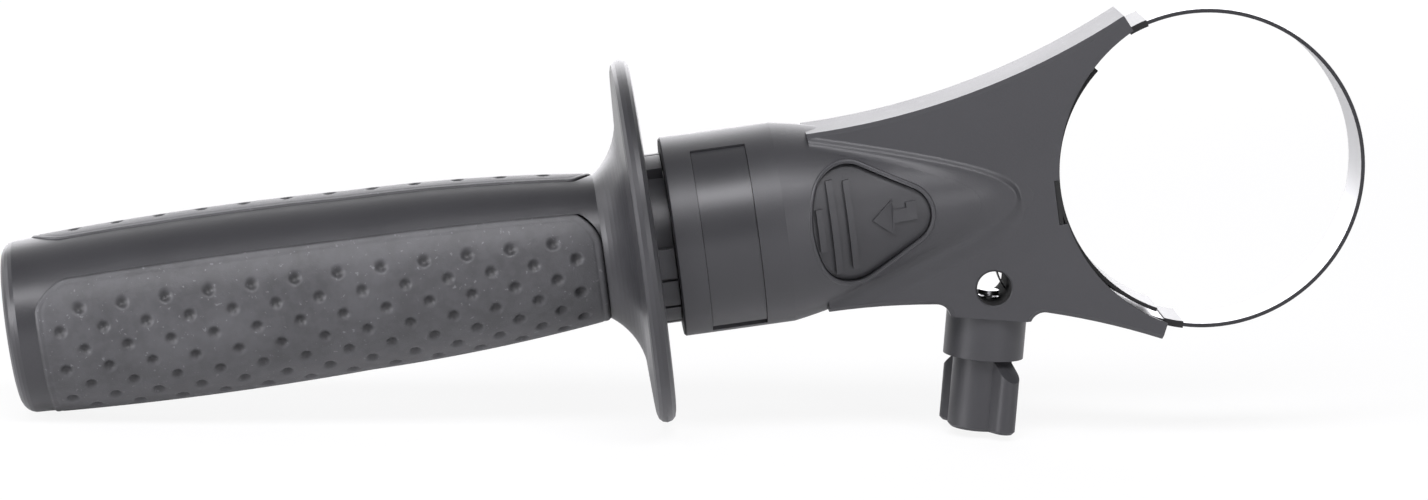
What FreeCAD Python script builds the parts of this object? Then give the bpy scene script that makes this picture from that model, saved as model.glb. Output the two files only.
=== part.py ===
import FreeCAD, Part
import math
import os

V = FreeCAD.Vector
ORIGIN = V(0, 0, 0)
AXIS_X = V(1, 0, 0)
AXIS_Y = V(0, 1, 0)
AXIS_Z = V(0, 0, 1)

# Side handle of a rotary hammer. Millimetres. The origin is the centre of the round tool
# collar that the strap clamps. +Y runs along that collar, the grip lies towards -X, +Z is up.

# Clearances
slip = 0.3            # between pieces that move past each other
fit = 0.05            # between a turned piece and its bore
seat = 0.1            # round an insert that lies still in its pocket

# Tool collar, liner and saddle
tool_r = 35.0
liner_t = 0.9
liner_w = 17.0
liner_proud = 0.3     # liner's face above the saddle's edge, at the middle
liner_top = 131.0
liner_bottom = 243.3
saddle_r = 39.1
tip_reach = 21.4      # saddle's middle to the fork's tips, along X
tip_wide = 3.7
tip_back = 1.7
clip_top = 2.3
clip_bottom = -8.0
clip_deep = 1.1

# Strap loop and its tension bolt
band_in = 36.8
band_t = 0.9
band_w = 17.0
band_x = -0.7
band_seat_deep = 3.6  # how far the loop's back is pressed out for the bolt's head
band_seat_half = 9.5
sleeve_t = 0.35
sleeve_side = 0.3
sleeve_start = 104.8
sleeve_end = 112.0
tighten_travel = 1.5
bolt_r = 4.0
bolt_length = 111.0
bolt_bevel = 0.8
head_t = 2.2
head_half_z = 7.5
head_half_y = 6.5
head_round = 0.9
neck_square = 8.2
spring_wire = 1.2
spring_mean_r = 5.8
spring_well = 13.9

# Arm
arm_t = 21.0
arm_edge_r = 178.0
arm_root_z = 21.2
arm_root = 57.2       # these lengths run from the saddle's middle towards the grip
arm_bevel = 1.0
hump_nose = 12.3
collar_front = 65.2
collar_back = 91.3
collar_r = 23.5
collar_bevel = 0.4
hump_brow = (6.0, 22.4)       # distance from the collar's front edge, radius
hump_shoulder = (12.5, 20.9)
hump_end_r = 10.9
skirt_wide = 1.0      # bevelled step round the foot of the hump
skirt_high = 0.9
neck_bore_r = 16.0
neck_bore_deep = 19.8
washer_t = 1.5

# Label place on the collar
label_from = 71.8
label_long = 12.9
label_half_angle = 64.0
label_slot_angle = 4.0
label_t = 1.1
label_sunk = 0.5
label_gap = 0.4       # degrees, at the plate's upper end

# Hole for a depth rod, with its clamp screw
hole_back = 18.2
hole_z = -20.95
hole_r = 4.0
hole_bevel = 0.45
boss_tilt = 12.0
boss_r = 9.5
boss_low = 17.6
boss_block = 7.4
boss_fillet = 3.5
screw_r = 2.5
insert_r = 4.0
insert_top = 10.0
foot_top = 1.9
foot_t = 1.2
foot_r = 2.4
foot_pin_r = 1.0
foot_pin = 2.1
knob_gap = 0.5
knob_h = 16.9
knob_floor = 4.0
knob_bevel = 0.7
knob_hub_r = 7.0
wing_reach = 11.7
wing_t = 5.4
wing_turn = 52.0
wing_slope = 4.4
leaf_t = 0.35
leaf_w = 3.0
leaf_slot = 1.0
leaf_x = 1.9
leaf_top = 6.5
leaf_bend = 3.6
leaf_end_x = 3.3
leaf_end_z = -1.8

# Release button on the hump
button_back = 59.0
button_nose = 31.1
button_flank = 12.9
button_nose_half = 6.0
button_nose_round = 3.7       # along X, from the nose to the ends of its arc
button_flank_from = 15.8
button_back_round = 5.8
button_corner = (1.7, 8.8)    # distance from the back, half height
button_sunk = 1.1
button_travel = 1.5
button_floor = 9.6    # pocket floor in front of the neck's axis
rib_w = 1.5
rib_h = 1.0
ribs = [(57.2, 5.0), (54.0, 11.0), (50.0, 10.4)]
button_spring_back = 47.0
button_spring_r = 2.2
button_spring_wire = 0.5
button_well = 2.0

# Grip
hub_gap = 4.55        # collar to flange
flange_r = 43.0
flange_t = 4.4
flange_root = 5.0
flare_r = 28.5
flare_bend = (3.2, 3.0)
neck_r = 17.0
neck_from_flange = 11.85
grip_long = 151.85    # flange's front face to the grip's end
end_r = 20.2
end_round = 3.9
end_dome = 0.9
end_brow = 0.4                # how far the end's face runs into its rounding
end_bend = (0.27, 0.28)       # middle of the rounding, as shares of its size along X and across
grip_swell = [(0.29, 21.5), (0.58, 20.9), (0.80, 19.75)]
pad_t = 2.2
pad_proud = 0.15
pad_half_angle = 71.0
pad_centre = -34.0    # elevation of the front pad's middle above the -Y direction
pad_left = 8.5
pad_right = 0.2
pad_corner = (11.4, 4.3)        # along the grip and across it, as seen square on
pad_corner_right = (9.5, 5.1)
pad_seam = 0.15

# Hub of the grip
hub_r = 20.0
hub_spigot = 18.0
hub_shank_r = 12.0
hub_shank = 20.0
nut_flats = 13.0
nut_long = 18.5
hub_tooth_deep = 0.7
hub_tooth_pitch = 24.0
hub_tooth_w = 2.5
hub_window_deep = 2.8
hub_window = (1.5, 63.6)

# Places worked out from the sizes above
saddle_x = -(tool_r + liner_proud)
saddle_cx = saddle_x + saddle_r
band_out = band_in + band_t
seat_x = band_x - band_out - band_seat_deep
channel_w = band_w + 2 * (sleeve_side + slip)
channel_x = band_x - tighten_travel - 2 * seat
channel_r = band_out + sleeve_t + slip + 2 * seat
head_pocket_x = seat_x - tighten_travel - 2 * slip
spring_floor_x = head_pocket_x - spring_well
nose_x = saddle_x - hump_nose
collar_front_x = saddle_x - collar_front
collar_back_x = saddle_x - collar_back
neck_floor_x = collar_back_x + neck_bore_deep
hole_x = saddle_x - hole_back
flange_x = collar_back_x - hub_gap
neck_x = flange_x - neck_from_flange
grip_end_x = flange_x - grip_long
bolt_head_x = seat_x + band_t
bolt_end_x = bolt_head_x - bolt_length


def box(x0, x1, y0, y1, z0, z1):
    return Part.makeBox(x1 - x0, y1 - y0, z1 - z0, V(x0, y0, z0))


def rod_x(x0, x1, radius):
    return Part.makeCylinder(radius, x1 - x0, V(x0, 0, 0), AXIS_X)


def rod_y(x, z, y0, y1, radius):
    return Part.makeCylinder(radius, y1 - y0, V(x, y0, z), AXIS_Y)


def rod_z(z0, z1, radius):
    return Part.makeCylinder(radius, z1 - z0, V(0, 0, z0), AXIS_Z)


def line(p, q):
    return Part.LineSegment(p, q).toShape()


def three_point_arc(p, q, r):
    return Part.Arc(p, q, r).toShape()


def spans(p, q, r, count):
    """Arc from p through q to r as short straight spans, so that turned faces are plain cones."""
    points = three_point_arc(p, q, r).discretize(Number=count + 1)
    points[0] = p
    points[-1] = r
    return [line(a, b) for a, b in zip(points, points[1:])]


def oval_arc(centre, long, high, a0, a1):
    """Part of an ellipse in the XZ plane, as a curve through seven of its points."""
    points = []
    for n in range(7):
        a = math.radians(a0 + (a1 - a0) * n / 6)
        points.append(centre + V(long * math.cos(a), 0, high * math.sin(a)))
    curve = Part.BSplineCurve()
    curve.interpolate(points)
    return curve.toShape()


def arc_of_radius(p, q, radius, side):
    """Arc in the XZ plane from p to q that bows to one side of its chord."""
    chord = q - p
    left = V(-chord.z, 0, chord.x)
    left.normalize()
    rise = radius - math.sqrt(radius ** 2 - (chord.Length / 2) ** 2)
    return three_point_arc(p, (p + q) * 0.5 + left * (rise * side), q)


def face(edges):
    return Part.Face(Part.Wire(edges))


def slab(outline, thickness):
    """Plate of a given thickness with its middle at y = 0, from an outline in the XZ plane."""
    outline.translate(V(0, -thickness / 2, 0))
    return outline.extrude(V(0, thickness, 0))


def turned(edges):
    """Solid of revolution about X from a closed outline in the XZ plane."""
    return face(edges).revolve(ORIGIN, AXIS_X, 360)


def round_the_neck(radius, angle, x):
    """Point at an elevation above the front of the neck."""
    a = math.radians(angle)
    return V(x, -radius * math.cos(a), radius * math.sin(a))


def neck_sector(x0, x1, r0, r1, a0, a1):
    """Part of a ring about the neck's axis, between two elevations."""
    mid = (a0 + a1) / 2
    outer = three_point_arc(*[round_the_neck(r1, a, x0) for a in (a0, mid, a1)])
    inner = three_point_arc(*[round_the_neck(r0, a, x0) for a in (a1, mid, a0)])
    sides = [line(round_the_neck(r1, a1, x0), round_the_neck(r0, a1, x0)),
             line(round_the_neck(r0, a0, x0), round_the_neck(r1, a0, x0))]
    return face([outer, sides[0], inner, sides[1]]).extrude(V(x1 - x0, 0, 0))


def collar_sector(cx, r0, r1, a0, a1, width):
    """Part of a ring about the tool's axis, cx to the side of it."""
    def at(radius, angle):
        a = math.radians(angle)
        return V(cx + radius * math.cos(a), 0, radius * math.sin(a))

    mid = (a0 + a1) / 2
    outer = three_point_arc(at(r1, a0), at(r1, mid), at(r1, a1))
    inner = three_point_arc(at(r0, a1), at(r0, mid), at(r0, a0))
    return slab(face([outer, line(at(r1, a1), at(r0, a1)), inner, line(at(r0, a0), at(r1, a0))]), width)


def coil(height, mean_r, wire_r, turns):
    """Open coil spring standing on z = 0, from short straight spans of six-sided wire."""
    steps = 10 * turns
    rise = (height - 2 * wire_r) / steps
    rings = []
    for n in range(steps + 1):
        out = V(math.cos(math.radians(36 * n)), math.sin(math.radians(36 * n)), 0)
        centre = out * mean_r + V(0, 0, wire_r + n * rise)
        corners = [centre + out * (wire_r * math.cos(math.radians(60 * k)))
                   + AXIS_Z * (wire_r * math.sin(math.radians(60 * k))) for k in range(7)]
        rings.append(Part.makePolygon(corners))
    return Part.makeLoft(rings, True, True)


def tilted(shape):
    """Moves a piece that was made under the origin to the clamp screw's axis."""
    shape.rotate(ORIGIN, AXIS_Y, boss_tilt)
    shape.translate(V(hole_x, 0, hole_z))
    return shape


def hump(shrink):
    """Collar and bullet-shaped hump, turned about the neck, all of it sunk by one depth."""
    top = collar_r - shrink
    start = V(collar_front_x, 0, top)
    brow = V(collar_front_x + hump_brow[0], 0, hump_brow[1] - shrink)
    shoulder = V(collar_front_x + hump_shoulder[0], 0, hump_shoulder[1] - shrink)
    end = V(nose_x, 0, hump_end_r - shrink)
    back = collar_back_x + shrink
    corners = [V(back, 0, 0), V(back, 0, top - collar_bevel), V(back + collar_bevel, 0, top), start]
    edges = [line(p, q) for p, q in zip(corners, corners[1:])]
    edges += spans(start, brow, shoulder, 7) + [line(shoulder, end)]
    edges += [line(end, V(nose_x, 0, 0)), line(V(nose_x, 0, 0), corners[0])]
    return turned(edges)


def hump_foot(margin, height):
    """Outline of the hump where it meets the arm's front cheek, grown by a margin, at a height above it."""
    shoulder_x = collar_front_x + hump_shoulder[0]
    half = arm_t / 2
    count = 12
    upper = []
    for n in range(count + 1):
        share = math.sin(math.radians(90 * n / count))
        radius = hump_shoulder[1] + (hump_end_r - hump_shoulder[1]) * share
        x = shoulder_x + (nose_x - shoulder_x) * share
        upper.append(V(x, 0, math.sqrt(radius ** 2 - half ** 2)))
    corners = upper + [V(p.x, 0, -p.z) for p in reversed(upper)]
    outline = Part.Face(Part.makePolygon(corners + corners[:1])).makeOffset2D(margin)
    outline.translate(V(0, -half - height, 0))
    return outline.OuterWire


def hump_skirt():
    """Bevelled step round the foot of the hump, on both cheeks."""
    skirt = Part.makeLoft([hump_foot(skirt_wide, -1), hump_foot(skirt_wide, 0),
                           hump_foot(seat, skirt_high)], True, True)
    behind = skirt.mirror(ORIGIN, AXIS_Y)
    return skirt.fuse(behind)


def arm_plate():
    """Flat forked plate with its saddle, and the block over the clamp screw."""
    tip_x = saddle_x + tip_reach
    tip_z = math.sqrt(saddle_r ** 2 - (tip_x - saddle_cx) ** 2)
    root_x = saddle_x - arm_root
    upper = [V(root_x, 0, arm_root_z), V(tip_x - tip_back, 0, tip_z + tip_wide), V(tip_x, 0, tip_z)]
    lower = [V(p.x, 0, -p.z) for p in upper]
    outline = face([
        arc_of_radius(upper[0], upper[1], arm_edge_r, -1),
        line(upper[1], upper[2]),
        three_point_arc(upper[2], V(saddle_x, 0, 0), lower[2]),
        line(lower[2], lower[1]),
        arc_of_radius(lower[1], lower[0], arm_edge_r, -1),
        line(lower[0], upper[0])])
    corners = [V(-boss_r, 0, 0), V(boss_r, 0, 0), V(boss_r, 0, -boss_block), V(-boss_r, 0, -boss_block)]
    block = tilted(face([line(p, q) for p, q in zip(corners, corners[1:] + corners[:1])]))
    joined = outline.fuse(block).removeSplitter().Faces[0]
    joined = joined.makeOffset2D(boss_fillet).makeOffset2D(-boss_fillet)
    plate = slab(joined, arm_t)
    rims = [e for e in plate.Edges
            if isinstance(e.Curve, Part.Circle) and abs(e.Curve.Radius - arm_edge_r) < 0.01]
    return plate.makeChamfer(arm_bevel, rims)


def teardrop(margin, y0, y1):
    """Prism with the outline of the button, grown by a margin."""
    nose = saddle_x - button_nose
    back = saddle_x - button_back
    z1 = button_nose_half
    z2 = button_flank
    upper = [V(nose - button_nose_round, 0, z1), V(nose - button_flank_from, 0, z2),
             V(back + button_back_round, 0, z2 + 0.1), V(back + button_corner[0], 0, button_corner[1])]
    lower = [V(p.x, 0, -p.z) for p in upper]
    outline = face([
        three_point_arc(lower[0], V(nose, 0, 0), upper[0]),
        line(upper[0], upper[1]),
        three_point_arc(upper[1], upper[2], upper[3]),
        three_point_arc(upper[3], V(back, 0, 0), lower[3]),
        three_point_arc(lower[3], lower[2], lower[1]),
        line(lower[1], lower[0])])
    if margin:
        outline = outline.makeOffset2D(margin)
    outline.translate(V(0, y0, 0))
    return outline.extrude(V(0, y1 - y0, 0))


def hole_cutter():
    """Hole along Y for the depth rod, with a light bevel at both mouths."""
    half = arm_t / 2
    cutter = rod_y(hole_x, hole_z, -half - 1, half + 1, hole_r)
    wide = hole_r + hole_bevel
    for side in (-1, 1):
        mouth = V(hole_x, side * half, hole_z)
        cutter = cutter.fuse(Part.makeCone(wide, hole_r, hole_bevel, mouth, V(0, -side, 0)))
    return cutter


def arm_housing():
    body = arm_plate().fuse(hump(0)).fuse(hump_skirt())
    body = body.fuse(tilted(rod_z(-boss_low, -boss_block / 2, boss_r)))
    cuts = [
        rod_y(channel_x, 0, -channel_w / 2, channel_w / 2, channel_r),
        box(head_pocket_x, saddle_x + 1, -channel_w / 2, channel_w / 2,
            -band_seat_half - 2 * slip, band_seat_half + 2 * slip),
        rod_x(spring_floor_x, head_pocket_x + 1, spring_mean_r + spring_wire),
        rod_x(neck_floor_x - 1, spring_floor_x + 1, bolt_r + slip),
        rod_x(collar_back_x - 1, neck_floor_x, neck_bore_r),
        hole_cutter(),
        tilted(rod_z(-insert_top - 1, 0, screw_r + slip)),
        tilted(rod_z(-boss_low - 1, -insert_top, insert_r + fit)),
        box(hole_x + leaf_x - leaf_slot / 2, hole_x + leaf_x + leaf_slot / 2,
            -leaf_w / 2 - seat, leaf_w / 2 + seat, hole_z, hole_z + leaf_top + seat),
        teardrop(slip, -collar_r - 5, -button_floor),
        rod_y(saddle_x - button_spring_back, 0, -button_floor - 1, -button_floor + button_well,
              button_spring_r + 2 * button_spring_wire),
        label_pocket(),
        box(saddle_x - clip_deep - seat, saddle_x + 2, -arm_t, arm_t, clip_bottom - seat, clip_top + seat),
    ]
    for cut in cuts:
        body = body.cut(cut)
    return body.removeSplitter()


def label_pocket():
    x1 = saddle_x - label_from
    floor_r = collar_r - label_sunk - label_t - seat
    return neck_sector(x1 - label_long, x1, floor_r, collar_r + 1,
                       -label_half_angle - label_slot_angle, label_half_angle)


def label_plate():
    """Bare curved plate in the collar's front."""
    x1 = saddle_x - label_from - seat
    outer = collar_r - label_sunk
    return neck_sector(x1 - label_long + 2 * seat, x1, outer - label_t, outer,
                       -label_half_angle, label_half_angle - label_gap)


def saddle_liner():
    """Thin strip that the tool's collar beds on, clipped to the cheeks at its middle."""
    strip = collar_sector(0, tool_r, tool_r + liner_t, liner_top, liner_bottom, liner_w)
    out_y = arm_t / 2 - seat
    in_y = channel_w / 2 + seat
    back_r = tool_r + liner_t
    top = math.degrees(math.asin(clip_top / back_r))
    bottom = math.degrees(math.asin(clip_bottom / back_r))
    wide = collar_sector(0, tool_r + liner_t / 3, back_r, 180 - top, 180 - bottom, 2 * out_y)
    liner = strip.fuse(wide)
    for side in (-1, 1):
        y0, y1 = sorted((side * in_y, side * out_y))
        liner = liner.fuse(box(saddle_x - clip_deep, -tool_r - liner_t / 2, y0, y1, clip_bottom, clip_top))
    return liner.removeSplitter()


def loop_block(radius, inset, width):
    """Filled outline of the round loop, with its back pressed out to a flat seat."""
    disc = rod_y(band_x, 0, -width / 2, width / 2, radius)
    half = band_seat_half - inset
    return disc.fuse(box(seat_x + inset, band_x, -width / 2, width / 2, -half, half))


def clamp_band():
    ring = loop_block(band_out, 0, band_w).cut(loop_block(band_in, band_t, band_w + 2))
    half = neck_square / 2 + 2 * seat
    return ring.cut(box(seat_x - 1, seat_x + band_t + 1, -half, half, -half, half)).removeSplitter()


def band_sleeve(side):
    """Sleeve round the strap where it enters a fork tip."""
    a0 = sleeve_start
    a1 = sleeve_end
    if side < 0:
        a0, a1 = 360 - sleeve_end, 360 - sleeve_start
    shell = collar_sector(band_x, band_in - sleeve_t, band_out + sleeve_t, a0, a1, band_w + 2 * sleeve_side)
    slot = collar_sector(band_x, band_in - fit, band_out + fit, a0 - 1, a1 + 1, band_w + 2 * fit)
    return shell.cut(slot)


def tension_bolt():
    """Hammer-head bolt: its head lies inside the strap's loop and its neck can't turn there."""
    head = box(bolt_head_x, bolt_head_x + head_t, -head_half_y, head_half_y, -head_half_z, head_half_z)
    head = head.makeFillet(head_round, [e for e in head.Edges if min(v.X for v in e.Vertexes) > bolt_head_x + 1])
    half = neck_square / 2
    neck = box(seat_x, bolt_head_x, -half, half, -half, half)
    shank = rod_x(bolt_end_x, bolt_head_x, bolt_r)
    bolt = head.fuse(neck).fuse(shank)
    ends = [e for e in bolt.Edges
            if isinstance(e.Curve, Part.Circle) and abs(e.Curve.Center.x - bolt_end_x) < 0.01]
    return bolt.makeChamfer(bolt_bevel, ends).removeSplitter()


def release_spring():
    """Coil that pushes the strap open."""
    spring = coil(seat_x - spring_floor_x - 2 * seat, spring_mean_r, spring_wire / 2, 5)
    spring.rotate(ORIGIN, AXIS_Y, 90)
    spring.translate(V(spring_floor_x + seat, 0, 0))
    return spring


def thrust_washer():
    ring = rod_x(neck_floor_x - washer_t, neck_floor_x, neck_bore_r - slip)
    return ring.cut(rod_x(neck_floor_x - washer_t - 1, neck_floor_x + 1, bolt_r + slip))


def clamp_insert():
    """Threaded insert for the clamp screw."""
    sleeve = rod_z(-boss_low + seat, -insert_top - seat, insert_r)
    return tilted(sleeve.cut(rod_z(-boss_low - 1, 0, screw_r + fit)))


def rod_spring():
    """Leaf that presses on a depth rod in its hole."""
    dx = leaf_end_x - leaf_x
    dz = leaf_bend - leaf_end_z
    radius = (dx ** 2 + dz ** 2) / (2 * dx)
    sweep = math.degrees(math.asin(dz / radius))
    cx = hole_x + leaf_x + radius
    leaf = collar_sector(cx, radius - leaf_t / 2, radius + leaf_t / 2, 180, 180 + sweep, leaf_w)
    leaf.translate(V(0, 0, hole_z + leaf_bend))
    x0 = hole_x + leaf_x - leaf_t / 2
    tail = box(x0, x0 + leaf_t, -leaf_w / 2, leaf_w / 2, hole_z + leaf_bend, hole_z + leaf_top)
    return leaf.fuse(tail).removeSplitter()


def clamp_foot():
    """Small swivel foot on the clamp screw's tip."""
    disc = rod_z(-foot_top - foot_t, -foot_top, foot_r)
    pin = rod_z(-foot_top - foot_t - foot_pin, -foot_top - foot_t, foot_pin_r)
    return tilted(disc.fuse(pin).removeSplitter())


def clamp_screw():
    tip = -foot_top - foot_t - slip
    low = -boss_low - knob_gap - knob_h + knob_floor
    socket = rod_z(tip - foot_pin, tip + 1, foot_pin_r + fit)
    return tilted(rod_z(low, tip, screw_r).cut(socket))


def wing_knob():
    """Two-winged knob with sloping tops."""
    top = -boss_low - knob_gap
    low = top - knob_h
    knob = rod_z(low, top, knob_hub_r)
    straight = wing_reach - wing_t / 2
    knob = knob.fuse(box(-straight, straight, -wing_t / 2, wing_t / 2, low, top))
    for side in (-1, 1):
        rounded = rod_z(low, top, wing_t / 2)
        rounded.translate(V(side * straight, 0, 0))
        knob = knob.fuse(rounded)
    knob = knob.removeSplitter()
    knob = knob.makeChamfer(knob_bevel, [e for e in knob.Edges if max(v.Z for v in e.Vertexes) < low + 0.01])
    reach = wing_reach + 1
    slope = wing_slope / (wing_reach - knob_hub_r)
    ring = face([line(V(knob_hub_r + 0.2, 0, top), V(reach, 0, top + 1)),
                 line(V(reach, 0, top + 1), V(reach, 0, top - (reach - knob_hub_r) * slope)),
                 line(V(reach, 0, top - (reach - knob_hub_r) * slope), V(knob_hub_r + 0.2, 0, top))])
    knob = knob.cut(ring.revolve(ORIGIN, AXIS_Z, 360))
    knob = knob.cut(rod_z(low + knob_floor - seat, top + 1, screw_r + fit))
    knob.rotate(ORIGIN, AXIS_Z, -wing_turn)
    return tilted(knob)


def release_button():
    """Teardrop press button: its face follows the hump, with raised finger ribs."""
    bottom = -button_floor - button_travel - slip
    key = teardrop(0, -collar_r, bottom)
    button = key.common(hump(button_sunk))
    raised = key.common(hump(button_sunk - rib_h))
    for back, half in ribs:
        x = saddle_x - back
        rib = raised.common(box(x - rib_w / 2, x + rib_w / 2, -collar_r, bottom, -half, half))
        button = button.fuse(rib)
    well = rod_y(saddle_x - button_spring_back, 0, bottom - button_well, bottom + 1,
                 button_spring_r + 2 * button_spring_wire)
    return button.cut(well).removeSplitter()


def button_spring():
    bottom = -button_floor + button_well - seat
    top = -button_floor - button_travel - slip - button_well + seat
    spring = coil(bottom - top, button_spring_r, button_spring_wire / 2, 4)
    spring.rotate(ORIGIN, AXIS_X, 90)
    spring.translate(V(saddle_x - button_spring_back, bottom, 0))
    return spring


def grip_side(offset):
    """Side of the grip as two long arcs, from its end to its neck, moved out by an offset."""
    x0 = grip_end_x + end_round
    points = [V(x0, 0, end_r + offset)]
    points += [V(x0 + f * (neck_x - x0), 0, r + offset) for f, r in grip_swell]
    points.append(V(neck_x, 0, neck_r + offset))
    return points


def side_edges(points):
    return spans(*points[:3], 6) + spans(*points[2:], 6)


def grip_body():
    """Turned body of the grip with its flared round flange."""
    side = grip_side(0)
    brow = V(grip_end_x + end_dome, 0, end_r - end_round + end_brow)
    shoulder = V(brow.x + end_round * end_bend[0], 0, end_r - end_round * end_bend[1])
    dome_r = (brow.z ** 2 + end_dome ** 2) / (2 * end_dome)
    half = math.asin(brow.z / dome_r) / 2
    dome_mid = V(grip_end_x + dome_r * (1 - math.cos(half)), 0, dome_r * math.sin(half))
    back_x = flange_x - flange_t
    flare_end = V(flange_x - flange_root, 0, flare_r)
    rim = flange_t / 2
    bend = V(neck_x + flare_bend[0], 0, neck_r + flare_bend[1])
    rim_back = V(back_x, 0, flange_r - rim)
    rim_front = V(flange_x, 0, flange_r - rim)
    edges = spans(V(grip_end_x, 0, 0), dome_mid, brow, 4)
    edges += spans(brow, shoulder, side[0], 5)
    edges += side_edges(side)
    edges += spans(side[-1], bend, flare_end, 9)
    edges += [line(flare_end, rim_back)]
    edges += spans(rim_back, V(flange_x - rim, 0, flange_r), rim_front, 6)
    edges += [line(rim_front, V(flange_x, 0, 0)), line(V(flange_x, 0, 0), V(grip_end_x, 0, 0))]
    return turned(edges)


def grip_shell(inner, outer):
    """Layer that follows the grip's side between two offsets."""
    low = grip_side(inner)
    high = grip_side(outer)
    return turned(side_edges(low) + [line(low[-1], high[-1])] + side_edges(high)[::-1]
                  + [line(high[0], low[0])])


def pad_shape(inner, outer, margin, centre):
    """Soft panel, or its pocket when grown by a margin, round a middle elevation."""
    x0 = grip_end_x + pad_left - margin
    x1 = neck_x - pad_right + margin
    half = pad_half_angle + math.degrees(margin / grip_swell[1][1])
    wedge = neck_sector(x0, x1, 1.0, flange_r, -half, half)
    reach = math.sin(math.radians(half))
    h0 = (0.7 * end_r + 0.3 * grip_swell[0][1]) * reach
    h1 = (neck_r + grip_swell[-1][1]) / 2 * reach
    la, lb = pad_corner
    ra, rb = pad_corner_right
    wide = flange_r
    edges = []
    for side in (1, -1):
        left = V(x0 + la, 0, side * (h0 - lb))
        right = V(x1 - ra, 0, side * (h1 - rb))
        walls = [V(left.x, 0, side * h0), V(left.x, 0, side * wide), V(right.x, 0, side * wide),
                 V(right.x, 0, side * h1)]
        edges += [oval_arc(left, la, lb, side * 180, side * 90), oval_arc(right, ra, rb, side * 90, 0)]
        edges += [line(p, q) for p, q in zip(walls, walls[1:])]
    edges.append(line(V(x0, 0, h0 - lb), V(x0, 0, lb - h0)))
    edges.append(line(V(x1, 0, h1 - rb), V(x1, 0, rb - h1)))
    outline = face(Part.__sortEdges__(edges))
    outline.translate(V(0, -flange_r, 0))
    prism = outline.extrude(V(0, flange_r, 0))
    wide_wedge = neck_sector(x0 - 1, x1 + 1, 1.0, flange_r, -89.9, 89.9)
    prism = prism.common(wide_wedge)
    pad = grip_shell(inner, outer).common(wedge).common(prism)
    pad.rotate(ORIGIN, AXIS_X, -centre)
    return pad


def soft_pad(centre):
    return pad_shape(-pad_t, pad_proud, 0, centre)


def grip_core():
    body = grip_body()
    for centre in (pad_centre, pad_centre + 180):
        body = body.cut(pad_shape(-pad_t - seat, 3, pad_seam, centre))
    body = body.cut(rod_x(flange_x - hub_shank - seat, flange_x + 1, hub_shank_r + fit))
    return body.cut(rod_x(bolt_end_x - 3 * tighten_travel, flange_x - hub_shank, bolt_r + 2 * slip))


def hex_rod(x0, x1, flats):
    corner = flats / math.sqrt(3)
    points = [round_the_neck(corner, 60 * n, x0) for n in range(7)]
    return Part.Face(Part.makePolygon(points)).extrude(V(x1 - x0, 0, 0))


def grip_hub():
    """Castellated sleeve seen in the gap, with a spigot in the collar and a shank in the grip."""
    front = collar_back_x - slip
    spigot_x = collar_back_x + hub_spigot
    hub = rod_x(flange_x, front, hub_r)
    hub = hub.fuse(rod_x(front, spigot_x, neck_bore_r - slip))
    hub = hub.fuse(rod_x(flange_x - hub_shank, flange_x, hub_shank_r))
    for turn in (0, 180):
        a0, a1 = hub_window
        hub = hub.cut(neck_sector(flange_x + 0.6, front + 1, hub_r - hub_window_deep, hub_r + 1,
                                  a0 + turn, a1 + turn))
        angle = a1 + turn + hub_tooth_pitch
        while angle < a0 + turn + 180 - hub_tooth_pitch / 2:
            hub = hub.cut(neck_sector(flange_x + 0.6, front + 1, hub_r - hub_tooth_deep, hub_r + 1,
                                      angle - hub_tooth_w / 2, angle + hub_tooth_w / 2))
            angle += hub_tooth_pitch
    hub = hub.cut(rod_x(flange_x - hub_shank - 1, spigot_x + 1, bolt_r + slip))
    nut_x = flange_x - hub_shank
    return hub.cut(hex_rod(nut_x - 1, nut_x + nut_long + seat, nut_flats + 2 * fit))


def grip_nut():
    nut_x = flange_x - hub_shank
    nut = hex_rod(nut_x + seat, nut_x + nut_long, nut_flats)
    return nut.cut(rod_x(nut_x - 1, nut_x + nut_long + 1, bolt_r + fit))


nodes = {
    "arm_housing": arm_housing,
    "label_plate": label_plate,
    "saddle_liner": saddle_liner,
    "clamp_insert": clamp_insert,
    "rod_spring": rod_spring,
    "thrust_washer": thrust_washer,
    "release_spring": release_spring,
    "button_spring": button_spring,
    "grip_core": grip_core,
    "front_pad": lambda: soft_pad(pad_centre),
    "rear_pad": lambda: soft_pad(pad_centre + 180),
    "grip_hub": grip_hub,
    "grip_nut": grip_nut,
    "tension_bolt": tension_bolt,
    "clamp_band": clamp_band,
    "upper_band_sleeve": lambda: band_sleeve(1),
    "lower_band_sleeve": lambda: band_sleeve(-1),
    "clamp_screw": clamp_screw,
    "wing_knob": wing_knob,
    "clamp_foot": clamp_foot,
    "release_button": release_button,
}

os.makedirs("parts", exist_ok=True)
for name, make in nodes.items():
    shape = make()
    solids = shape.Solids
    shape = solids[0] if len(solids) == 1 else Part.makeCompound(solids)
    shape.exportStep(f"parts/{name}.step")
    corner = shape.BoundBox
    print(f"{name}: {len(solids)} solid, valid {shape.isValid()}, volume {shape.Volume:.0f},"
          f" x {corner.XMin:.1f} to {corner.XMax:.1f}, z {corner.ZMin:.1f} to {corner.ZMax:.1f}")
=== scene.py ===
"""Looks of a rotary hammer's side handle: finishes, soft panels, small marks, floor, light, camera."""
import math

import bmesh
import bpy
from mathutils import Matrix, Vector


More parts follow.
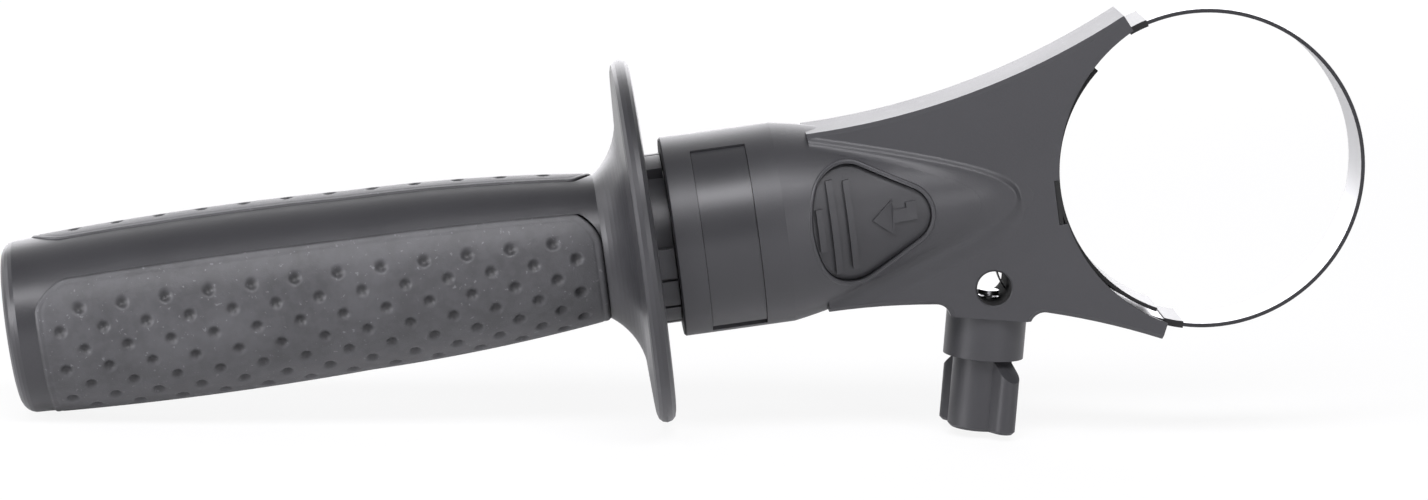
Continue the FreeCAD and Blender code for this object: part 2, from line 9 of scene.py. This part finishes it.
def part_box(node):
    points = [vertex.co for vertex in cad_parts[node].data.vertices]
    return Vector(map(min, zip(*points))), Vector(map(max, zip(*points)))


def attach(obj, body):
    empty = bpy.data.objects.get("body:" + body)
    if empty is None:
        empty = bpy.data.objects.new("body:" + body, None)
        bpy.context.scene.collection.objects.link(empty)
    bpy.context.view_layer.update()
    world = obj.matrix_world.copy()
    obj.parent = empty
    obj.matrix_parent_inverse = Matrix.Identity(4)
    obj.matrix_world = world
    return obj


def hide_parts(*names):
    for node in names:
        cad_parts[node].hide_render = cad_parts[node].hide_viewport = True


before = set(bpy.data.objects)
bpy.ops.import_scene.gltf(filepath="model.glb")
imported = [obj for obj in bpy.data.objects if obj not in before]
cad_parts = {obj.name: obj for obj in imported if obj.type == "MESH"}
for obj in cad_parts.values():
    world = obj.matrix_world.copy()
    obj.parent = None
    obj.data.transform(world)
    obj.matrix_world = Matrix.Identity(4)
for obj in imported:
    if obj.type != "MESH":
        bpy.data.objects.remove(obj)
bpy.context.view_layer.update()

MM = 0.001

# Depth rod's hole: centre in the XZ plane, radius, and how soft the edge is of the painted shade that
# darkens the inside of the hole
ROD_HOLE = ((-53.5 * MM, -20.95 * MM), 4.1 * MM)
BORE_SHADE_EDGE = 0.05 * MM

# Painted shade on a strip's edges: how far in it is dark, and over what width that fades
STRIP_EDGE_SHADE = (0.06 * MM, 0.02 * MM)

# Camera, from the perspective of the photograph
CAMERA_AT = Vector((-163, -1250, 208)) * MM
CAMERA_TARGET = Vector((-117, 0, -4.5)) * MM
NECK_CLIMB = math.radians(7.9)
LENS = 136.1
SENSOR = 36.0

# Room's light; a mirror sees it brighten over a stretch of the direction's Y
AMBIENT = 0.1
ROOM_FROM = 0.25
ROOM_OVER = 0.4
ROOM_BEHIND = 0.86
ROOM_FRONT = 0.14

# Lamps: (name, place, width, height, watts)
LAMPS = (("key_strip", (0.0, -0.8, 1.0), 1.3, 0.4, 18.0),
         ("left_softbox", (-1.2, -0.5, 0.3), 0.6, 0.6, 15.0),
         ("left_high", (-1.2, 0.25, 0.7), 0.8, 0.8, 4.0),
         ("right_softbox", (0.8, -1.2, 0.2), 0.5, 0.5, 5.0),
         ("backdrop", (-0.1, 1.1, 0.2), 1.3, 1.3, 14.0))
LAMP_AIM = Vector((-0.12, 0, 0))
DAYLIGHT = (0.97, 0.96, 1.0)

# Floor: where the grip and the wing bolt rest on it, half its side, and how white each kind of ray sees it
GRIP_LOW = Vector((-281.0, 0, -19.7)) * MM
WING_LOW_X = -0.056
FLOOR_REACH = 6.0
FLOOR_SEEN = 0.88
FLOOR_SHINE = 0.86
FLOOR_BOUNCE = 0.26
FLOOR_BEHIND = -0.05
FLOOR_BEHIND_OVER = 0.3

# Grip's side: (x, radius) stations of its two long arcs
END_X = -279.1 * MM
END_R = 20.2 * MM
NECK_X = -143.0 * MM
NECK_R = 17.0 * MM
SWELL = ((0.29, 21.5 * MM), (0.58, 20.9 * MM), (0.80, 19.75 * MM))

# Soft panels
PAD_HALF = math.radians(71.9)
PAD_TURN = math.radians(-34.0)
PAD_T = 2.0 * MM
PAD_PROUD = 0.3 * MM
PAD_LAP = 0.3 * MM
PAD_EDGE_DIP = 0.42 * MM
PAD_EDGE_WIDE = 0.8 * MM
# next: width over which the seam along a panel's edge is painted dark as shade
PAD_SEAM_SHADE = 0.5 * MM
PAD_LINE = (1.6 * MM, 0.5 * MM, 0.1 * MM)   # distance from the edge, half width, depth
PAD_ROWS = 124
PAD_COLUMN = 0.42 * MM
PAD_CORNER_COLUMNS = 34
PAD_CORNERS = ((11.7 * MM, 4.6 * MM), (9.5 * MM, 5.4 * MM))
DIMPLE_PITCH = 10.0 * MM
DIMPLE_FIRST_X = -264.4 * MM
DIMPLE_ROW = math.radians(13.2)
DIMPLE_FIRST_ROW = math.radians(50.0)
DIMPLE_ROWS = 9
DIMPLE_R = 1.55 * MM
DIMPLE_DEEP = 1.0 * MM
DIMPLE_MARGIN = 2.2 * MM
# name of the mesh layer that says where a panel is painted dark as shade
SHADE_LAYER = "sunk"

# Hump: its cone from the shoulder on, and two stations behind it
CONE_START = (-88.0 * MM, 20.9 * MM)
CONE_SLOPE = -10.0 / 40.4
HUMP_BEHIND = ((-100.5 * MM, 23.5 * MM), (-94.5 * MM, 22.4 * MM))

# Button: how far it is sunk, its outline from the nose and from the back, and its pocket's rounded lip
BUTTON_SUNK = 1.1 * MM
BUTTON_NOSE = ((3.7 * MM, 6.0 * MM), (15.8 * MM, 12.9 * MM))
BUTTON_BACK = ((5.8 * MM, 13.0 * MM), (1.7 * MM, 8.8 * MM))
OUTLINE_ARC = 16
OUTLINE_BACK = 24
OUTLINE_LINE = 10
LIP_CLEAR = 0.12 * MM
LIP_R = 0.6 * MM
LIP_PROUD = 0.22 * MM

# Rounded band over the bevelled step at the hump's foot; it is crisp above and melts into the cheek below
CHEEK = 10.5 * MM
STEP_HIGH = 0.9 * MM
STEP_WIDE = 1.0 * MM
STEP_TOP = 0.1 * MM
BAND_HIGH = 0.97 * MM
BAND_FALL = (1.5 * MM, 4.2 * MM)
BAND_TURN = 9.0 * MM
BAND_BLEND = 1.3 * MM
BAND_X = (-92.4 * MM, -39.0 * MM)
BAND_HALF = 20.2 * MM
BAND_CELL = 0.25 * MM
BAND_LEAST = 0.01 * MM
BAND_UNDER = 0.03 * MM
SHARP = math.radians(50.0)

# Arrow on the button, in mm, and the places where it is cut so that it can bend
ARROW = ((-80.2, 0.3), (-75.2, 4.3), (-75.2, 1.9), (-72.0, 1.9), (-72.0, 3.2), (-69.6, 3.2),
         (-69.6, -1.1), (-75.2, -1.1), (-75.2, -4.2))
ARROW_CUTS = range(-80, -70)
ARROW_RISE = 0.6 * MM


class Value:
    """A shader socket; arithmetic on it adds Math nodes."""

    def __init__(self, net, socket):
        self.net = net
        self.socket = socket

    def _maths(self, operation, *values, **settings):
        return self.net.node("ShaderNodeMath", dict(operation=operation, **settings), *values)

    def __add__(self, other):
        return self._maths("ADD", self, other)

    def __sub__(self, other):
        return self._maths("SUBTRACT", self, other)

    def __rsub__(self, other):
        return self._maths("SUBTRACT", other, self)

    def __mul__(self, other):
        return self._maths("MULTIPLY", self, other)

    def clipped(self):
        return self._maths("ADD", self, 0.0, use_clamp=True)

    def above(self, edge, width):
        """0 below the edge, 1 above it, over a width."""
        return self._maths("MULTIPLY", self - edge, 1.0 / width, use_clamp=True)


class Net:
    """Nodes of one material or world."""

    def __init__(self, owner):
        self.owner = owner
        owner.use_nodes = True
        self.tree = owner.node_tree
        self.tree.nodes.clear()

    def node(self, kind, settings, *values, out=0, **named):
        made = self.tree.nodes.new(kind)
        for key, value in settings.items():
            setattr(made, key, value)
        inputs = list(enumerate(values)) + [(key.replace("_", " "), value) for key, value in named.items()]
        for key, value in inputs:
            self.plug(made.inputs[key], value)
        return Value(self, made.outputs[out]) if made.outputs else None

    def plug(self, socket, value):
        if isinstance(value, Value):
            self.tree.links.new(value.socket, socket)
        else:
            socket.default_value = value

    def place(self):
        return self.node("ShaderNodeTexCoord", {}, out="Object")

    def stretched(self, scale):
        return self.node("ShaderNodeMapping", {}, self.place(), Scale=scale)

    def noise(self, scale, detail=3.0, where=None):
        return self.node("ShaderNodeTexNoise", {}, Vector=where or self.place(), Scale=scale, Detail=detail)

    def mix(self, factor, a, b):
        made = self.tree.nodes.new("ShaderNodeMix")
        made.data_type = "RGBA"
        for index, value in ((0, factor), (6, a), (7, b)):
            self.plug(made.inputs[index], value)
        return Value(self, made.outputs[2])

    def bump(self, height, strength, distance):
        return self.node("ShaderNodeBump", {}, Strength=strength, Distance=distance, Height=height)

    def finish(self, **sockets):
        shader = self.node("ShaderNodeBsdfPrincipled", {}, **sockets)
        self.node("ShaderNodeOutputMaterial", {}, shader)
        return self.owner


def new_net(name):
    return Net(bpy.data.materials.new(name))


def tone(level, blue=0.0):
    return (level, level, level * (1 + blue), 1.0)


def moulded(name, level, rough, grain, grain_bump, blue=0.09, worn=0.25, bore_shade=None):
    """Satin moulded plastic: fine grain, slow tone drift, faint rubbed patches; the inside of a hole may be
    painted near-black as shade, and made fully rough.
    """
    net = new_net(name)
    fine = net.noise(grain, 2.0)
    drift = net.noise(28.0, 2.0)
    rub = net.noise(160.0, 4.0, net.stretched((1.0, 1.0, 2.5))).above(0.62, 0.2)
    body = net.mix(drift.above(0.35, 0.3), tone(level * 0.94, blue), tone(level * 1.06, blue))
    colour = net.mix(rub * worn, body, tone(level * 1.3, blue))
    speck = net.mix(fine.above(0.4, 0.25) * 0.35, colour, tone(level * 1.16, blue))
    roughness = (drift - 0.5) * 0.12 + rub * -0.07 + (fine - 0.5) * 0.1 + rough
    relief = net.bump(fine, grain_bump, 0.00008)
    if bore_shade:
        (x, z), radius = bore_shade
        across = net.node("ShaderNodeVectorMath", dict(operation="MULTIPLY"), net.place(), (1.0, 0.0, 1.0))
        reach = net.node("ShaderNodeVectorMath", dict(operation="DISTANCE"), across, (x, 0.0, z),
                         out="Value")
        # painted shade: the inside of the rod's hole is painted near-black
        inside = 1 - reach.above(radius, BORE_SHADE_EDGE)
        speck = net.mix(inside, speck, tone(0.004))
        roughness = roughness + inside
    return net.finish(Base_Color=speck, Roughness=roughness.clipped(), Normal=relief)


def soft_grip(name):
    """Soft overmould: matt and mottled, with a fine pebble and dust; its dimples and the seam along its
    edge are painted dark as shade.
    """
    net = new_net(name)
    pebble = net.noise(2600.0, 2.0)
    bloom = net.noise(70.0, 4.0)
    dust = net.noise(900.0, 3.0).above(0.66, 0.05)
    mottle = net.noise(420.0, 3.0).above(0.4, 0.2)
    body = net.mix(bloom.above(0.38, 0.3), tone(0.042, 0.06), tone(0.062, 0.06))
    unshaded = net.mix(dust * 0.3, net.mix(mottle * 0.22, body, tone(0.085, 0.07)), tone(0.24, 0.05))
    sunk = net.node("ShaderNodeAttribute", dict(attribute_name=SHADE_LAYER), out="Fac")
    # painted shade: darkens the dimples by their depth and the seam along the panel's edge
    colour = net.mix(sunk * 0.8, unshaded, tone(0.01, 0.05))
    roughness = (bloom - 0.5) * 0.16 + (pebble - 0.5) * 0.12 + 0.5
    return net.finish(Base_Color=colour, Roughness=roughness.clipped(),
                      Normal=net.bump(pebble, 0.5, 0.0001))


def edge_shade_mask(net, half_width):
    """1 on a strip's two edges, beyond half its width along Y, where painted shade darkens them."""
    across = net.node("ShaderNodeSeparateXYZ", {}, net.place(), out="Y")
    off = net.node("ShaderNodeMath", dict(operation="ABSOLUTE"), across)
    deep, fade = STRIP_EDGE_SHADE
    return off.above(half_width - deep, fade)


def rolled_steel(name, level, rough, along, half_width=None):
    """Bright strip or wire: fine drawing lines along one direction; a strip's two edges are painted dark as
    shade.
    """
    net = new_net(name)
    lines = net.noise(400.0, 3.0, net.stretched(along))
    cloud = net.noise(60.0, 2.0)
    colour = net.mix(lines, tone(level * 0.9, 0.02), tone(level, 0.02))
    roughness = (lines - 0.5) * 0.12 + (cloud - 0.5) * 0.1 + rough
    if half_width:
        # painted shade: a strip's two edges are painted dark
        colour = net.mix(edge_shade_mask(net, half_width), colour, tone(0.055, 0.05))
    return net.finish(Base_Color=colour, Metallic=1.0, Roughness=roughness.clipped(),
                      Normal=net.bump(lines, 0.12, 0.00003))


def black_strip(name, half_width):
    """Smooth black strip whose two edges are rougher and painted darker as shade."""
    net = new_net(name)
    fine = net.noise(1800.0, 2.0)
    # painted shade: the strip's two edges are painted darker
    edge = edge_shade_mask(net, half_width)
    colour = net.mix(edge, net.mix(fine, tone(0.02), tone(0.034)), tone(0.008))
    roughness = (fine - 0.5) * 0.1 + edge * 0.5 + 0.34
    return net.finish(Base_Color=colour, Roughness=roughness.clipped(), Normal=net.bump(fine, 0.2, 0.00006))


def brass(name):
    net = new_net(name)
    lines = net.noise(500.0, 3.0, net.stretched((1.0, 1.0, 8.0)))
    colour = net.mix(lines, (0.5, 0.36, 0.15, 1.0), (0.66, 0.5, 0.24, 1.0))
    return net.finish(Base_Color=colour, Metallic=1.0, Roughness=(lines - 0.5) * 0.1 + 0.3)


def wear(finish, *names):
    """Gives CAD nodes a finish."""
    for name in names:
        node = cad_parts[name]
        node.data.materials.clear()
        node.data.materials.append(finish)


def new_piece(name, bm, finish, body, smooth=True):
    """Turns a bmesh into a piece that rides on a body."""
    bmesh.ops.recalc_face_normals(bm, faces=bm.faces)
    for f in bm.faces:
        f.smooth = smooth
    mesh = bpy.data.meshes.new(name)
    bm.to_mesh(mesh)
    bm.free()
    piece = bpy.data.objects.new(name, mesh)
    bpy.context.scene.collection.objects.link(piece)
    mesh.materials.append(finish)
    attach(piece, body)
    return piece


def parabola(x, stations):
    """Value at x of the parabola through three (place, value) stations."""
    total = 0.0
    for i, (xi, value) in enumerate(stations):
        share = value
        for k, (xk, _) in enumerate(stations):
            if k != i:
                share *= (x - xk) / (xi - xk)
        total += share
    return total


def grip_radius(x):
    """Radius of the grip's side: a parabola through the three stations of each long arc."""
    stations = [(END_X, END_R)]
    stations += [(END_X + f * (NECK_X - END_X), r) for f, r in SWELL]
    stations.append((NECK_X, NECK_R))
    return parabola(x, stations[:3] if x < stations[2][0] else stations[2:])


def corner_inset(x, ends):
    """Where x lies in a panel's rounded corners: (corner, straight height, share of its length)."""
    for end, corner, sign in zip(ends, PAD_CORNERS, (1, -1)):
        share = 1 - sign * (x - end) / corner[0]
        if share > 0:
            height = (grip_radius(end + sign * corner[0]) + PAD_PROUD) * math.sin(PAD_HALF)
            return corner, height, min(share, 1.0)
    return None


def panel_reach(x, ends):
    """Half the angle that a panel covers at x."""
    inset = corner_inset(x, ends)
    if not inset:
        return PAD_HALF
    corner, height, share = inset
    seen = height - corner[1] + corner[1] * math.sqrt(1 - share ** 2)
    return min(PAD_HALF, math.asin(min(seen / (grip_radius(x) + PAD_PROUD), 1.0)))


def inside_panel(x, angle, ends):
    """Distance along the surface to the panel's edge."""
    radius = grip_radius(x)
    inside = min(x - ends[0], ends[1] - x, radius * (PAD_HALF - abs(angle)))
    inset = corner_inset(x, ends)
    if inset:
        corner, height, share = inset
        across = (radius * math.sin(abs(angle)) - height) / corner[1] + 1
        if across > 0:
            reach = math.hypot(share, across)
            slope = math.hypot(share / corner[0], across * math.cos(angle) / corner[1]) / reach
            inside = min(inside, (1 - reach) / slope)
    return inside


def dimple_depth(x, angle, ends):
    """Depth of the nearest dimple of the staggered rows at a point of the panel."""
    row = round((DIMPLE_FIRST_ROW - angle) / DIMPLE_ROW)
    if row < 0 or row >= DIMPLE_ROWS:
        return 0.0
    row_angle = DIMPLE_FIRST_ROW - row * DIMPLE_ROW
    first = DIMPLE_FIRST_X - (row % 2) * DIMPLE_PITCH / 2
    centre = first + round((x - first) / DIMPLE_PITCH) * DIMPLE_PITCH
    if inside_panel(centre, row_angle, ends) < DIMPLE_MARGIN:
        return 0.0
    off = math.hypot(x - centre, (angle - row_angle) * grip_radius(x)) / DIMPLE_R
    return DIMPLE_DEEP * (1 - off ** 2) if off < 1 else 0.0


def edge_dip(inside):
    """Rounded edge of a panel with a shallow line just inside it."""
    rounded = PAD_EDGE_DIP * max(1 - inside / PAD_EDGE_WIDE, 0.0) ** 2
    middle, half, depth = PAD_LINE
    line = depth * max(1 - abs(inside - middle) / half, 0.0)
    return rounded + line


def panel_columns(ends):
    """Places of the panel's cross rows: dense round the corners, even between them."""
    corner = PAD_CORNER_COLUMNS
    starts = [[end + sign * long * (1 - math.cos(math.pi / 2 * n / corner)) for n in range(corner)]
              for end, sign, long in ((ends[0], 1, PAD_CORNERS[0][0]), (ends[1], -1, PAD_CORNERS[1][0]))]
    low = ends[0] + PAD_CORNERS[0][0]
    high = ends[1] - PAD_CORNERS[1][0]
    count = round((high - low) / PAD_COLUMN)
    middle = [low + (high - low) * n / count for n in range(count + 1)]
    return starts[0] + middle + starts[1][::-1]


def soft_panel(name, node, turn, finish):
    """Dimpled soft panel that stands for a plain CAD pad."""
    low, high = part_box(node)
    ends = (low[0] - PAD_LAP, high[0])
    columns = panel_columns(ends)
    bm = bmesh.new()
    sunk = bm.verts.layers.float.new(SHADE_LAYER)
    bmesh.ops.create_grid(bm, x_segments=len(columns) - 1, y_segments=PAD_ROWS, size=1.0)
    for v in bm.verts:
        x = columns[round((v.co.x + 1) / 2 * (len(columns) - 1))]
        angle = v.co.y * panel_reach(x, ends)
        depth = dimple_depth(x, angle, ends)
        inside = inside_panel(x, angle, ends)
        # where the panel is painted dark as shade: in the dimples by their depth, and in a seam along its
        # edge
        v[sunk] = max(depth / DIMPLE_DEEP, 1 - inside / PAD_SEAM_SHADE, 0.0)
        radius = grip_radius(x) + PAD_PROUD - depth - edge_dip(inside)
        v.co = Vector((x, -radius * math.cos(angle + turn), radius * math.sin(angle + turn)))
    bmesh.ops.recalc_face_normals(bm, faces=bm.faces)
    outward = Vector((0, -math.cos(turn), math.sin(turn)))
    if sum((f.normal for f in bm.faces), Vector()).dot(outward) < 0:
        bmesh.ops.reverse_faces(bm, faces=bm.faces)
    bmesh.ops.solidify(bm, geom=bm.faces[:], thickness=PAD_T)
    panel = new_piece(name, bm, finish, "grip")
    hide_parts(node)
    return panel


def hump_radius(x):
    if x < CONE_START[0]:
        return parabola(x, HUMP_BEHIND + (CONE_START,))
    return CONE_START[1] + (x - CONE_START[0]) * CONE_SLOPE


def hump_surface(x, z, sunk):
    """Y of a face that lies sunk under the hump's front."""
    return -math.sqrt((hump_radius(x) - sunk) ** 2 - z ** 2)


def band_heights(x, z):
    """Height of the moulding near the hump's foot, and of the rounded band over its step."""
    r = hump_radius(x)
    narrowing = (hump_radius(x + BAND_CELL) - r) / BAND_CELL
    cone = math.sqrt(max(r * r - z * z, 0.0))
    off_foot = (z * z + CHEEK * CHEEK - r * r) / (2 * math.hypot(r * narrowing, z))
    step = min(max((STEP_WIDE - off_foot) / (STEP_WIDE - STEP_TOP), 0.0), 1.0) * STEP_HIGH
    below = min(max(-z / BAND_TURN, 0.0), 1.0)
    fall = BAND_FALL[0] + (BAND_FALL[1] - BAND_FALL[0]) * below
    t = min(max(off_foot / fall, 0.0), 1.0)
    band = CHEEK + BAND_HIGH * (1 - t * t * (3 - 2 * t))
    apart = min(abs(cone - band) / BAND_BLEND, 1.0)
    return max(cone, CHEEK + step), max(cone, band) + BAND_BLEND / 4 * (1 - apart) ** 2


def foot_band(side, finish):
    """Rounded band along the hump's foot, on the front or the back of the arm."""
    columns = round((BAND_X[1] - BAND_X[0]) / BAND_CELL)
    rows = round(2 * BAND_HALF / BAND_CELL)
    bm = bmesh.new()
    bmesh.ops.create_grid(bm, x_segments=columns, y_segments=rows, size=1.0)
    raised = {}
    for v in bm.verts:
        x = BAND_X[0] + (BAND_X[1] - BAND_X[0]) * (v.co.x + 1) / 2
        z = BAND_HALF * v.co.y
        ground, skin = band_heights(x, z)
        raised[v] = skin - ground > BAND_LEAST
        v.co = Vector((x, side * (skin if raised[v] else ground - BAND_UNDER), z))
    hidden = [f for f in bm.faces if not any(raised[v] for v in f.verts)]
    bmesh.ops.delete(bm, geom=hidden, context="FACES")
    base = bmesh.ops.extrude_face_region(bm, geom=bm.faces[:])
    for v in base["geom"]:
        if isinstance(v, bmesh.types.BMVert):
            v.co.y = side * (CHEEK - MM)
    for e in bm.edges:
        e.smooth = e.calc_face_angle(0.0) < SHARP
    name = "hump_band_front" if side < 0 else "hump_band_back"
    return new_piece(name, bm, finish, "arm")


def arc_through(p, q, r, count):
    """Points of the arc from p through q to r, without its last."""
    a, b = q - p, r - p
    d = 2 * (a.x * b.y - a.y * b.x)
    centre = p + Vector((b.y * a.length_squared - a.y * b.length_squared,
                         a.x * b.length_squared - b.x * a.length_squared)) / d
    turn = (p - centre).angle_signed(q - centre) + (q - centre).angle_signed(r - centre)
    return [centre + Matrix.Rotation(-turn * n / count, 2) @ (p - centre) for n in range(count)]


def pocket_outline():
    """Closed outline of the button as (x, z) points."""
    low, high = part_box("release_button")
    nose, back = high[0], low[0]
    upper = [Vector((nose - x, z)) for x, z in BUTTON_NOSE]
    upper += [Vector((back + x, z)) for x, z in BUTTON_BACK]
    lower = [Vector((p.x, -p.y)) for p in upper]
    steps = [n / OUTLINE_LINE for n in range(OUTLINE_LINE)]
    points = arc_through(lower[0], Vector((nose, 0)), upper[0], OUTLINE_ARC)
    points += [upper[0].lerp(upper[1], step) for step in steps]
    points += arc_through(upper[1], upper[2], upper[3], OUTLINE_ARC)
    points += arc_through(upper[3], Vector((back, 0)), lower[3], OUTLINE_BACK)
    points += arc_through(lower[3], lower[2], lower[1], OUTLINE_ARC)
    return points + [lower[1].lerp(lower[0], step) for step in steps]


def pocket_lip(finish):
    """Rounded lip round the button's pocket, swept along the hump's surface."""
    outline = pocket_outline()
    curve = bpy.data.curves.new("pocket_lip", "CURVE")
    curve.dimensions = "3D"
    curve.bevel_depth = LIP_R
    curve.bevel_resolution = 3
    spline = curve.splines.new("POLY")
    spline.points.add(len(outline) - 1)
    spline.use_cyclic_u = True
    for n, (point, p) in enumerate(zip(spline.points, outline)):
        along = (outline[(n + 1) % len(outline)] - outline[n - 1]).normalized()
        edge = p + Vector((along.y, -along.x)) * (LIP_CLEAR + LIP_R)
        point.co = (edge.x, hump_surface(edge.x, edge.y, LIP_R - LIP_PROUD), edge.y, 1.0)
    sweep = bpy.data.objects.new("pocket_lip", curve)
    bm = bmesh.new()
    bm.from_mesh(sweep.to_mesh())
    bpy.data.objects.remove(sweep)
    return new_piece("pocket_lip", bm, finish, "arm")


def button_arrow(finish):
    """Raised bent arrow that follows the button's face."""
    bm = bmesh.new()
    corners = [bm.verts.new((x * MM, 0, z * MM)) for x, z in ARROW]
    bm.faces.new(corners)
    for cut in ARROW_CUTS:
        bmesh.ops.bisect_plane(bm, geom=bm.verts[:] + bm.edges[:] + bm.faces[:],
                               plane_co=(cut * MM, 0, 0), plane_no=(1, 0, 0))
    top = bmesh.ops.extrude_face_region(bm, geom=bm.faces[:])
    raised = {v for v in top["geom"] if isinstance(v, bmesh.types.BMVert)}
    for v in bm.verts:
        lift = ARROW_RISE if v in raised else -ARROW_RISE
        v.co.y = hump_surface(v.co.x, v.co.z, BUTTON_SUNK) - lift
    return new_piece("button_arrow", bm, finish, "button", smooth=False)


def add_floor():
    """Pale floor under the grip's low end and the wing bolt."""
    wing_low = Vector((WING_LOW_X, 0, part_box("wing_knob")[0][2]))
    along = (wing_low - GRIP_LOW).normalized()
    up = Vector((-along.z, 0, along.x))
    bm = bmesh.new()
    bmesh.ops.create_grid(bm, x_segments=1, y_segments=1, size=FLOOR_REACH)
    turn = Matrix((along, Vector((0, 1, 0)), up)).transposed().to_4x4()
    bmesh.ops.transform(bm, matrix=Matrix.Translation(GRIP_LOW - up * MM) @ turn, verts=bm.verts)
    mesh = bpy.data.meshes.new("floor")
    bm.to_mesh(mesh)
    bm.free()
    floor = bpy.data.objects.new("floor", mesh)
    bpy.context.scene.collection.objects.link(floor)
    net = new_net("floor_paint")
    seen = net.node("ShaderNodeLightPath", {}, out="Is Camera Ray")
    shine = net.node("ShaderNodeLightPath", {}, out="Is Glossy Ray")
    lit = net.node("ShaderNodeBsdfDiffuse", {}, (0.92, 0.92, 0.93, 1.0))
    glow = net.node("ShaderNodeEmission", {}, (1.0, 1.0, 1.0, 1.0), 1.0)
    bounce = net.node("ShaderNodeLightPath", {}, out="Is Diffuse Ray")
    depth = net.node("ShaderNodeSeparateXYZ", {}, net.place(), out="Y")
    behind = depth.above(FLOOR_BEHIND, FLOOR_BEHIND_OVER)
    share = seen * FLOOR_SEEN + shine * behind * FLOOR_SHINE + bounce * FLOOR_BOUNCE
    shader = net.node("ShaderNodeMixShader", {}, share, lit, glow)
    net.node("ShaderNodeOutputMaterial", {}, shader)
    mesh.materials.append(net.owner)


def add_light():
    """Room that mirrors see white behind the object and dim in front of it, with five soft lamps."""
    world = bpy.data.worlds.new("studio")
    bpy.context.scene.world = world
    net = Net(world)
    seen = net.node("ShaderNodeLightPath", {}, out="Is Camera Ray")
    shine = net.node("ShaderNodeLightPath", {}, out="Is Glossy Ray")
    direction = net.node("ShaderNodeTexCoord", {}, out="Generated")
    back = net.node("ShaderNodeSeparateXYZ", {}, direction, out="Y")
    room = back.above(ROOM_FROM, ROOM_OVER) * ROOM_BEHIND + ROOM_FRONT
    strength = seen + shine * room + (1 - seen - shine) * AMBIENT
    glow = net.node("ShaderNodeBackground", {}, (1.0, 1.0, 1.0, 1.0), strength)
    net.node("ShaderNodeOutputWorld", {}, glow)
    for name, at, width, height, power in LAMPS:
        lamp = bpy.data.lights.new(name, "AREA")
        lamp.shape = "RECTANGLE"
        lamp.size = width
        lamp.size_y = height
        lamp.energy = power
        lamp.color = DAYLIGHT
        holder = bpy.data.objects.new(name, lamp)
        bpy.context.scene.collection.objects.link(holder)
        holder.location = at
        aim = LAMP_AIM - Vector(at)
        holder.rotation_euler = aim.to_track_quat("-Z", "Y").to_euler()
        holder.visible_camera = False


def add_camera():
    """Camera that shows the neck's axis climbing to the right, as in the photograph."""
    ahead = (CAMERA_TARGET - CAMERA_AT).normalized()
    right = ahead.cross(Vector((0, 0, 1))).normalized()
    up = right.cross(ahead)
    climb = math.atan2(up.x, right.x)
    roll = climb - NECK_CLIMB
    side = right * math.cos(roll) + up * math.sin(roll)
    head = side.cross(ahead)
    lens = bpy.data.cameras.new("photo_camera")
    lens.lens = LENS
    lens.sensor_width = SENSOR
    lens.sensor_fit = "HORIZONTAL"
    camera = bpy.data.objects.new("photo_camera", lens)
    bpy.context.scene.collection.objects.link(camera)
    turn = Matrix((side, head, -ahead)).transposed().to_4x4()
    camera.matrix_world = Matrix.Translation(CAMERA_AT) @ turn
    bpy.context.scene.camera = camera


bpy.context.scene.view_settings.view_transform = "Standard"
add_camera()
add_light()
add_floor()

# the arm's plastic has painted shade inside the depth rod's hole
body_plastic = moulded("arm_plastic", 0.034, 0.42, 2400.0, 0.22, bore_shade=ROD_HOLE)
grip_plastic = moulded("grip_plastic", 0.028, 0.36, 2000.0, 0.18)
hub_plastic = moulded("hub_plastic", 0.036, 0.42, 2400.0, 0.2)
knob_plastic = moulded("knob_plastic", 0.031, 0.4, 2400.0, 0.2)
button_plastic = moulded("button_plastic", 0.027, 0.5, 2800.0, 0.25)
label_plastic = moulded("label_plastic", 0.033, 0.34, 3200.0, 0.1, worn=0.1)
strap_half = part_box("clamp_band")[1][1]
strap_steel = rolled_steel("strap_steel", 0.52, 0.42, (1.0, 12.0, 1.0), strap_half)
bolt_steel = rolled_steel("bolt_steel", 0.62, 0.3, (1.0, 6.0, 6.0))
wire_steel = rolled_steel("wire_steel", 0.45, 0.35, (3.0, 1.0, 1.0))
# steel painted near-black as the shade that the rod spring sits in inside the rod's hole
painted_shade_steel = rolled_steel("painted_shade_steel", 0.03, 0.4, (1.0, 1.0, 6.0))

wear(body_plastic, "arm_housing")
wear(grip_plastic, "grip_core")
wear(hub_plastic, "grip_hub")
wear(knob_plastic, "wing_knob")
wear(button_plastic, "release_button")
wear(label_plastic, "label_plate")
sleeve_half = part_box("upper_band_sleeve")[1][1]
wear(black_strip("sleeve_black", sleeve_half), "upper_band_sleeve", "lower_band_sleeve")
wear(strap_steel, "clamp_band")
wear(bolt_steel, "tension_bolt", "clamp_screw", "clamp_foot", "grip_nut", "thrust_washer")
wear(wire_steel, "release_spring", "button_spring")
# painted shade: the rod spring's steel is painted near-black
wear(painted_shade_steel, "rod_spring")
wear(black_strip("liner_rubber", strap_half), "saddle_liner")
wear(brass("insert_brass"), "clamp_insert")

panel_rubber = soft_grip("soft_grip")
soft_panel("front_soft_panel", "front_pad", PAD_TURN, panel_rubber)
soft_panel("rear_soft_panel", "rear_pad", PAD_TURN + math.pi, panel_rubber)
button_arrow(button_plastic)
pocket_lip(body_plastic)
for side in (-1, 1):
    foot_band(side, body_plastic)
